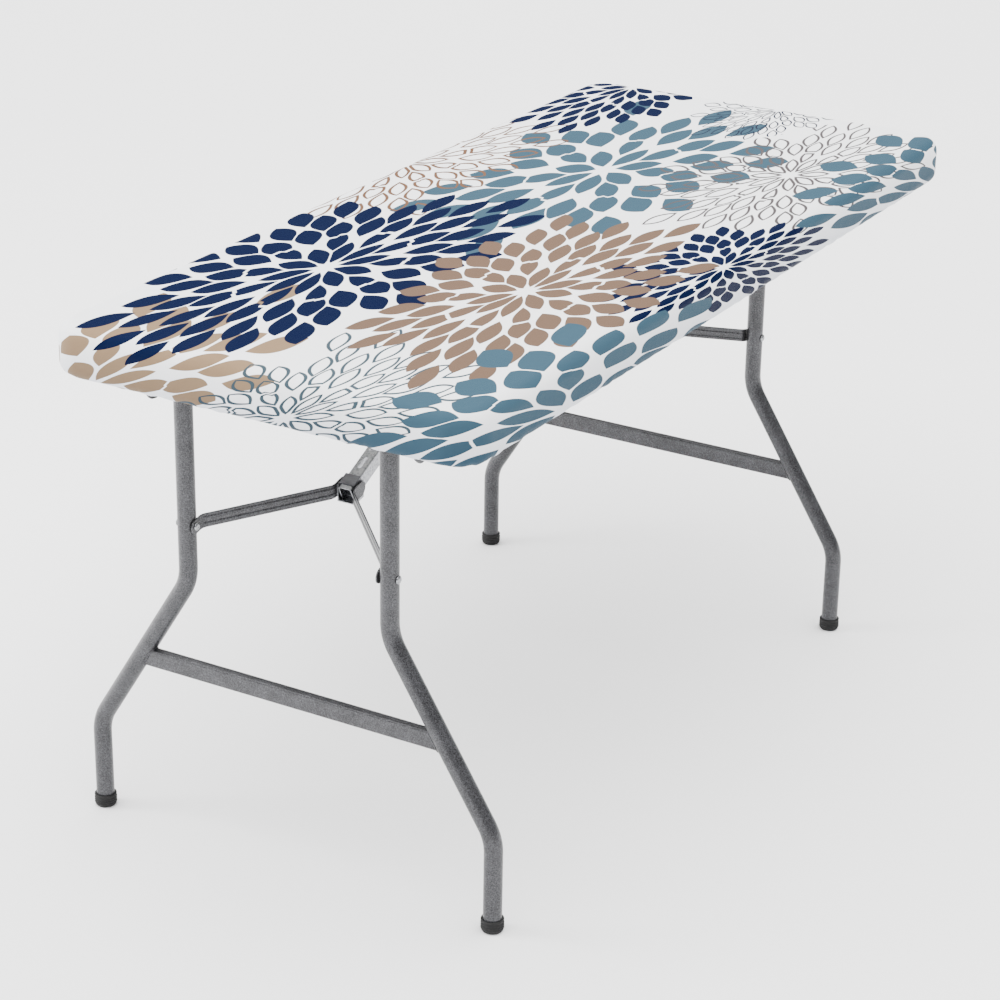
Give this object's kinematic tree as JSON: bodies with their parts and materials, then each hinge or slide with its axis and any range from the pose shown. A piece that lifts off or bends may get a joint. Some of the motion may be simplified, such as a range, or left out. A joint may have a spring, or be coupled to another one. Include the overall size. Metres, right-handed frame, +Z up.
{
  "type": "folding table with fitted tablecloth",
  "caption": "Rectangular folding table dressed with a stretchy, elastic-edged fitted tablecloth in a dahlia print; wishbone tube legs fold under the top.",
  "frame": {"origin": "on the floor under the middle of the tabletop", "axes": "+X along the table towards its far end, +Y across it towards its left long side seen from the near end, +Z up"},
  "size_m": [1.48, 0.6632, 0.74],
  "materials": {
    "printed_cloth": "satiny printed polyester knit, white ground with navy, slate-blue and taupe flowers",
    "elastic": "woven elastic band",
    "moulded_panel": "blow-moulded polyethylene, fine grain",
    "painted_steel": "grey powder coat",
    "hammertone_steel": "grey hammertone powder coat, semi-gloss",
    "zinc_steel": "bright zinc plate",
    "dark_steel": "dark zinc plate",
    "black_rubber": "matt moulded rubber",
    "nylon": "moulded nylon"
  },
  "bodies": {
    "table_top": {"tabletop_panel": "moulded_panel", "left_side_rail": "painted_steel", "right_side_rail": "painted_steel", "centre_support": "painted_steel", "left_rail_screw_1": "zinc_steel", "left_rail_screw_2": "zinc_steel", "left_rail_screw_3": "zinc_steel", "left_rail_screw_4": "zinc_steel", "right_rail_screw_1": "zinc_steel", "right_rail_screw_2": "zinc_steel", "right_rail_screw_3": "zinc_steel", "right_rail_screw_4": "zinc_steel", "near_left_pivot_bracket": "painted_steel", "near_left_pivot_bush": "nylon", "near_right_pivot_bracket": "painted_steel", "near_right_pivot_bush": "nylon", "far_left_pivot_bracket": "painted_steel", "far_left_pivot_bush": "nylon", "far_right_pivot_bracket": "painted_steel", "far_right_pivot_bush": "nylon", "near_strut_clevis": "zinc_steel", "near_strut_pin": "zinc_steel", "far_strut_clevis": "zinc_steel", "far_strut_pin": "zinc_steel"},
    "cover": {"tablecloth": "printed_cloth", "hem_casing": "printed_cloth", "hem_elastic": "elastic"},
    "near_leg_frame": {"near_pivot_tube": "hammertone_steel", "near_lower_crossbar": "hammertone_steel", "near_left_leg_tube": "hammertone_steel", "near_left_foot_cap": "black_rubber", "near_left_brace_rivet": "zinc_steel", "near_right_leg_tube": "hammertone_steel", "near_right_foot_cap": "black_rubber", "near_right_brace_rivet": "zinc_steel"},
    "near_brace": {"near_left_brace_strap": "hammertone_steel", "near_right_brace_strap": "hammertone_steel", "near_knuckle_yoke": "zinc_steel"},
    "near_strut": {"near_upper_strut": "zinc_steel"},
    "near_lock_ring_body": {"near_lock_ring": "dark_steel"},
    "far_leg_frame": {"far_pivot_tube": "hammertone_steel", "far_lower_crossbar": "hammertone_steel", "far_left_leg_tube": "hammertone_steel", "far_left_foot_cap": "black_rubber", "far_left_brace_rivet": "zinc_steel", "far_right_leg_tube": "hammertone_steel", "far_right_foot_cap": "black_rubber", "far_right_brace_rivet": "zinc_steel"},
    "far_brace": {"far_left_brace_strap": "hammertone_steel", "far_right_brace_strap": "hammertone_steel", "far_knuckle_yoke": "zinc_steel"},
    "far_strut": {"far_upper_strut": "zinc_steel"},
    "far_lock_ring_body": {"far_lock_ring": "dark_steel"}
  },
  "joints": [
    {"name": "cover_lift", "type": "slide", "parent": "table_top", "child": "cover", "axis": [0, 0, 1], "range_m": [0, 0.12], "deforming": ["hem_casing", "hem_elastic"]},
    {"name": "near_leg_fold", "type": "hinge", "parent": "table_top", "child": "near_leg_frame", "pos_m": [-0.663, 0, 0.65], "axis": [0, -1, 0], "range_deg": [0, 86.5]},
    {"name": "near_brace_fold", "type": "hinge", "parent": "near_leg_frame", "child": "near_brace", "pos_m": [-0.663, 0, 0.467], "axis": [0, 1, 0], "range_deg": [0, 103.1]},
    {"name": "near_strut_fold", "type": "hinge", "parent": "table_top", "child": "near_strut", "pos_m": [-0.15, 0, 0.674], "axis": [0, 1, 0], "range_deg": [0, 25.9]},
    {"name": "near_lock_ring_slide", "type": "slide", "parent": "near_strut", "child": "near_lock_ring_body", "axis": [0.9016, 0, 0.4326], "range_m": [0, 0.045]},
    {"name": "far_leg_fold", "type": "hinge", "parent": "table_top", "child": "far_leg_frame", "pos_m": [0.402, 0, 0.65], "axis": [0, 1, 0], "range_deg": [0, 90]},
    {"name": "far_brace_fold", "type": "hinge", "parent": "far_leg_frame", "child": "far_brace", "pos_m": [0.402, 0, 0.467], "axis": [0, -1, 0], "range_deg": [0, 103.1]},
    {"name": "far_strut_fold", "type": "hinge", "parent": "table_top", "child": "far_strut", "pos_m": [-0.111, 0, 0.674], "axis": [0, -1, 0], "range_deg": [0, 25.9]},
    {"name": "far_lock_ring_slide", "type": "slide", "parent": "far_strut", "child": "far_lock_ring_body", "axis": [-0.9016, 0, 0.4326], "range_m": [0, 0.045]}
  ],
  "couplings": [
    {"joint": "near_brace_fold", "follows": "near_leg_fold", "ratio": 1.1859},
    {"joint": "near_strut_fold", "follows": "near_leg_fold", "ratio": 0.2963},
    {"joint": "far_brace_fold", "follows": "far_leg_fold", "ratio": 1.1397},
    {"joint": "far_strut_fold", "follows": "far_leg_fold", "ratio": 0.28477}
  ]
}
